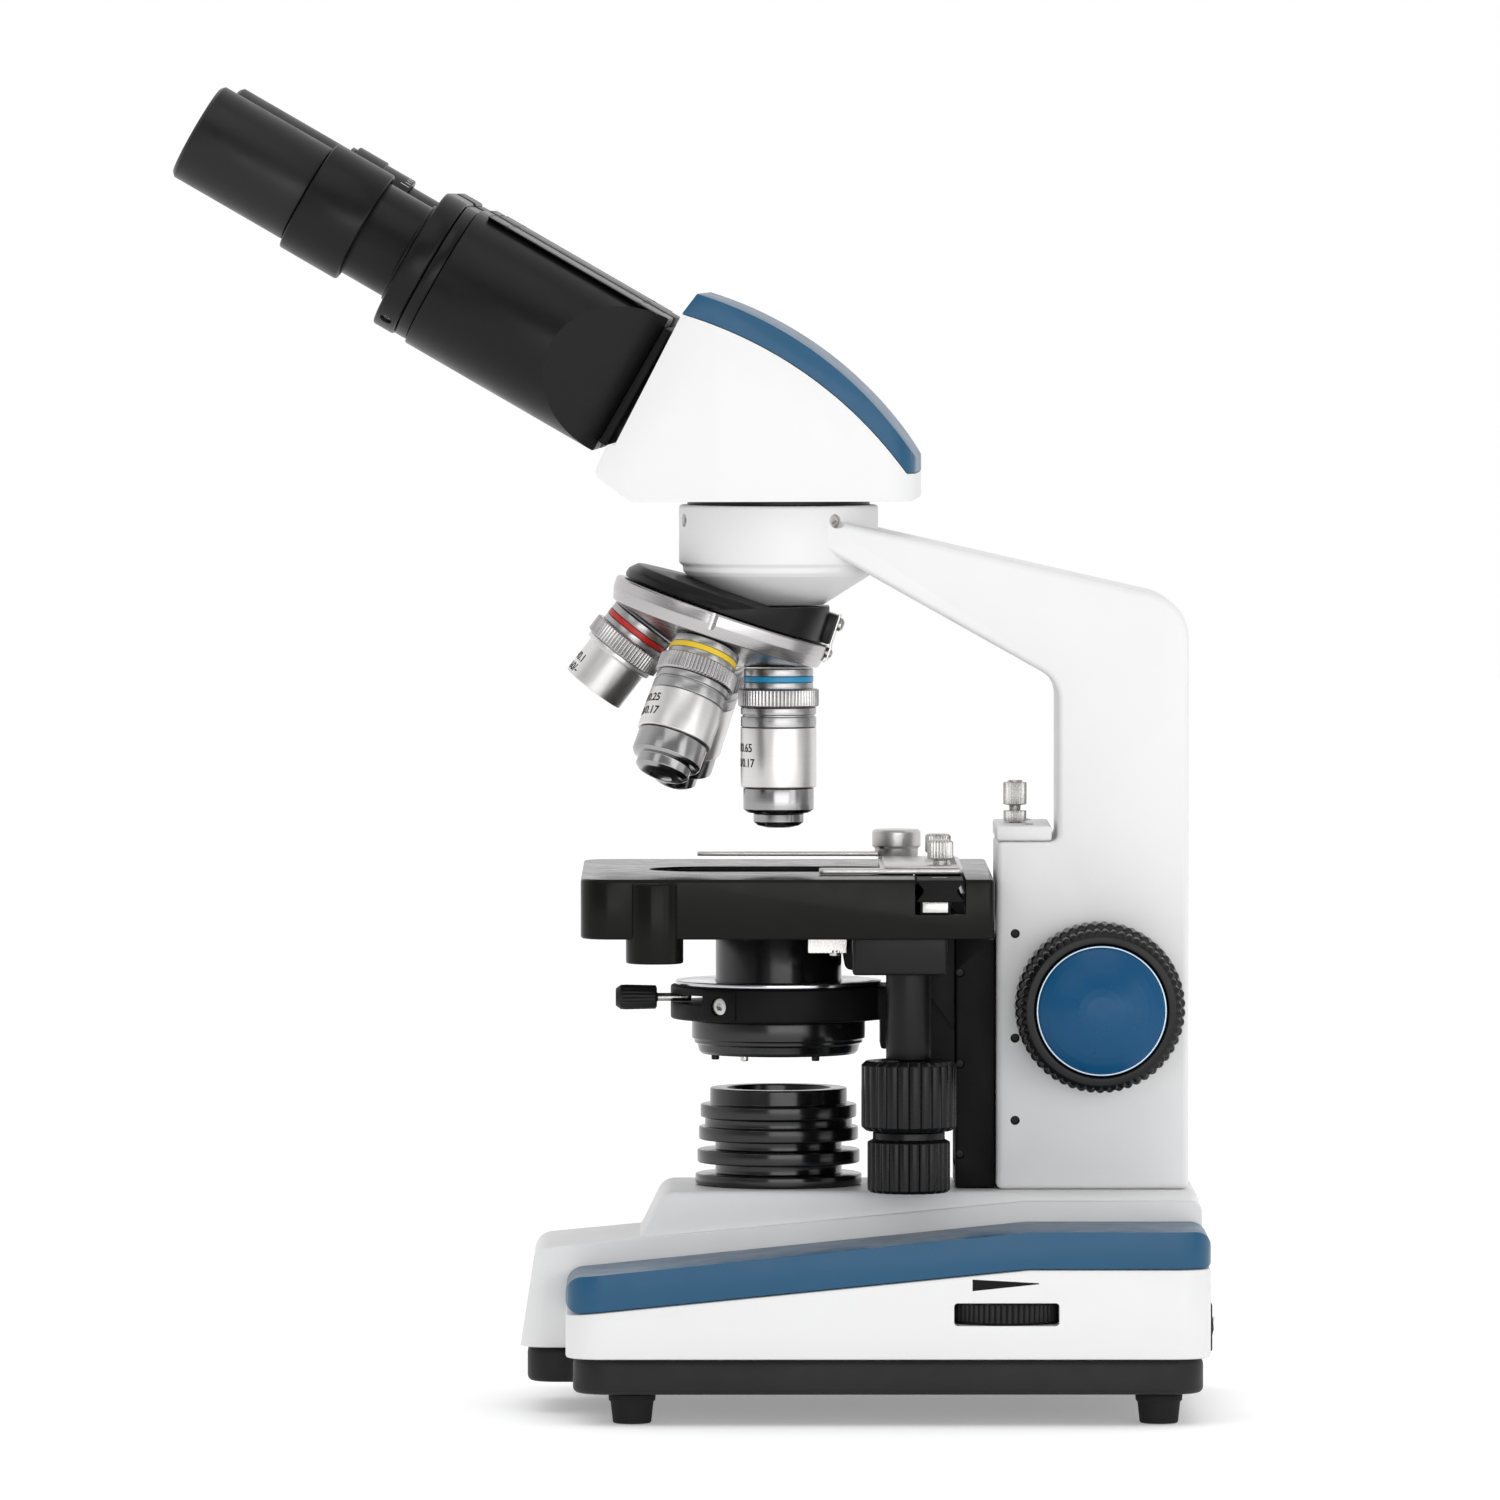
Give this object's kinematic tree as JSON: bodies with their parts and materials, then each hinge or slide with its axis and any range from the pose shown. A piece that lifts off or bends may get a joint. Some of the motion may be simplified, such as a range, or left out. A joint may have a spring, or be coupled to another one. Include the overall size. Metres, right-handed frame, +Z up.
{
  "type": "microscope",
  "caption": "Binocular compound microscope with inclined eye tubes, revolving nosepiece, mechanical stage, condenser and lit base.",
  "frame": {"origin": "on the bench, under the middle of the instrument's overall box", "axes": "+X from the user towards the arm, -Y to the user's right, +Z up"},
  "size_m": [0.2874, 0.148, 0.3663],
  "materials": {
    "white_paint": "satin white paint",
    "blue_trim": "satin blue",
    "blue_cap": "satin blue cap",
    "black_satin": "satin black",
    "black_plastic": "moulded black",
    "black_rubber": "matt",
    "chrome": "polished",
    "satin_chrome": "satin",
    "steel": "machined",
    "glass": "coated",
    "circuit_board": "matt"
  },
  "bodies": {
    "stand": {"base_housing": "white_paint", "base_plate": "black_plastic", "trim_right": "blue_trim", "trim_left": "blue_trim", "foot_front_right": "black_rubber", "foot_front_left": "black_rubber", "foot_rear_right": "black_rubber", "foot_rear_left": "black_rubber", "arm": "white_paint", "stage_guide": "black_satin", "collector_housing": "black_satin", "collector_lens": "glass", "led_board": "circuit_board", "power_jack": "black_plastic", "nosepiece_cap": "black_satin"},
    "head": {"head_housing": "white_paint", "head_cap": "blue_trim", "head_flange": "black_satin", "slide_plate": "black_satin"},
    "eye_right": {"prism_box_right": "black_satin", "tube_plate_right": "black_satin", "eye_tube_right": "black_satin"},
    "eye_left": {"prism_box_left": "black_satin", "tube_plate_left": "black_satin", "eye_tube_left": "black_satin"},
    "eyepiece_right": {"eyepiece_right": "black_plastic", "eyepiece_lens_right": "glass"},
    "eyepiece_left": {"eyepiece_left": "black_plastic", "eyepiece_lens_left": "glass"},
    "diopter": {"diopter_ring": "black_satin"},
    "turret": {"turret_disc": "satin_chrome", "objective_4x": "satin_chrome", "objective_10x": "satin_chrome", "objective_40x": "satin_chrome", "objective_100x": "satin_chrome"},
    "coarse_focus": {"coarse_shaft": "steel", "coarse_knob_right": "black_plastic", "coarse_knob_left": "black_plastic"},
    "fine_focus": {"fine_shaft": "steel", "fine_knob_right": "blue_cap", "fine_knob_left": "blue_cap"},
    "stage_carriage": {"stage_bracket": "black_satin"},
    "stage": {"stage_plate": "black_satin", "holder_rail": "black_satin", "xy_column": "black_satin"},
    "holder": {"slide_holder": "steel"},
    "finger": {"slide_finger": "steel"},
    "xy_upper": {"xy_upper_knob": "black_plastic"},
    "xy_lower": {"xy_lower_knob": "black_plastic"},
    "condenser": {"condenser_mount": "black_satin", "condenser_barrel": "black_satin", "condenser_rim": "chrome", "condenser_lens": "glass"},
    "iris": {"iris_lever": "black_plastic"},
    "condenser_drive": {"condenser_knob": "black_plastic"},
    "dimmer": {"dimmer_wheel": "black_plastic"},
    "power_switch": {"rocker_switch": "black_plastic"},
    "stop": {"stop_screw": "steel"}
  },
  "joints": [
    {"name": "head_turn", "type": "hinge", "parent": "stand", "child": "head", "pos_m": [0.02367, 0, 0.2506], "axis": [0, 0, 1], "continuous": true},
    {"name": "eye_right_spacing", "type": "slide", "parent": "head", "child": "eye_right", "axis": [-0.0523, -0.9986, 0], "range_m": [-0.0035, 0.0065]},
    {"name": "eye_left_spacing", "type": "slide", "parent": "head", "child": "eye_left", "axis": [0.0523, 0.9986, 0], "range_m": [-0.0035, 0.0065]},
    {"name": "eyepiece_right_pull", "type": "slide", "parent": "eye_right", "child": "eyepiece_right", "axis": [-0.8648, 0.0453, 0.5], "range_m": [0, 0.03]},
    {"name": "eyepiece_left_pull", "type": "slide", "parent": "eye_left", "child": "eyepiece_left", "axis": [-0.8648, 0.0453, 0.5], "range_m": [0, 0.03]},
    {"name": "diopter_turn", "type": "hinge", "parent": "eye_left", "child": "diopter", "pos_m": [-0.0942, 0.03722, 0.33155], "axis": [-0.8648, 0.0453, 0.5], "range_deg": [-60, 60]},
    {"name": "turret_turn", "type": "hinge", "parent": "stand", "child": "turret", "pos_m": [0.00828, 0.00108, 0.22125], "axis": [0.3207, -0.0224, 0.9469], "continuous": true},
    {"name": "stage_lift", "type": "slide", "parent": "stand", "child": "stage_carriage", "axis": [0, 0, 1], "range_m": [-0.007, 0.008]},
    {"name": "coarse_turn", "type": "hinge", "parent": "stand", "child": "coarse_focus", "pos_m": [0.11217, 0, 0.1125], "axis": [0, -1, 0], "range_deg": [-126, 126]},
    {"name": "fine_turn", "type": "hinge", "parent": "stand", "child": "fine_focus", "pos_m": [0.11217, 0, 0.1125], "axis": [0, -1, 0], "continuous": true},
    {"name": "stage_forward", "type": "slide", "parent": "stage_carriage", "child": "stage", "axis": [1, 0, 0], "range_m": [-0.024, 0]},
    {"name": "holder_across", "type": "slide", "parent": "stage", "child": "holder", "axis": [0, 1, 0], "range_m": [-0.035, 0.035]},
    {"name": "finger_swing", "type": "hinge", "parent": "holder", "child": "finger", "pos_m": [0.05687, 0.032, 0.1512], "axis": [0, 0, 1], "range_deg": [-35, 0], "stiffness_Nm_per_rad": 0.05},
    {"name": "xy_upper_turn", "type": "hinge", "parent": "stage", "child": "xy_upper", "pos_m": [0.05927, -0.045, 0.0877], "axis": [0, 0, 1], "range_deg": [-181, 1]},
    {"name": "xy_lower_turn", "type": "hinge", "parent": "stage", "child": "xy_lower", "pos_m": [0.05927, -0.045, 0.0727], "axis": [0, 0, 1], "range_deg": [-255, 255]},
    {"name": "condenser_lift", "type": "slide", "parent": "stage_carriage", "child": "condenser", "axis": [0, 0, 1], "range_m": [-0.002, 0.0025]},
    {"name": "iris_turn", "type": "hinge", "parent": "condenser", "child": "iris", "pos_m": [0.02367, 0, 0.1136], "axis": [0, 0, 1], "range_deg": [-35, 35]},
    {"name": "condenser_knob_turn", "type": "hinge", "parent": "stage_carriage", "child": "condenser_drive", "pos_m": [0.06792, 0.027, 0.1042], "axis": [0, 1, 0], "range_deg": [-30, 45]},
    {"name": "dimmer_turn", "type": "hinge", "parent": "stand", "child": "dimmer", "pos_m": [0.08567, -0.0577, 0.0307], "axis": [0, 0, 1], "range_deg": [-135, 135]},
    {"name": "switch_rock", "type": "hinge", "parent": "stand", "child": "power_switch", "pos_m": [0.13677, -0.042, 0.0252], "axis": [0, -1, 0], "range_deg": [0, 16]},
    {"name": "stop_turn", "type": "hinge", "parent": "stand", "child": "stop", "pos_m": [0.08937, 0, 0.1622], "axis": [0, 0, 1], "continuous": true}
  ],
  "couplings": [
    {"joint": "eye_left_spacing", "follows": "eye_right_spacing", "ratio": 1},
    {"joint": "coarse_turn", "follows": "stage_lift", "rad_per_m": 273.18},
    {"joint": "xy_upper_turn", "follows": "stage_forward", "rad_per_m": 129.87},
    {"joint": "xy_lower_turn", "follows": "holder_across", "rad_per_m": 125},
    {"joint": "condenser_knob_turn", "follows": "condenser_lift", "rad_per_m": 200}
  ]
}
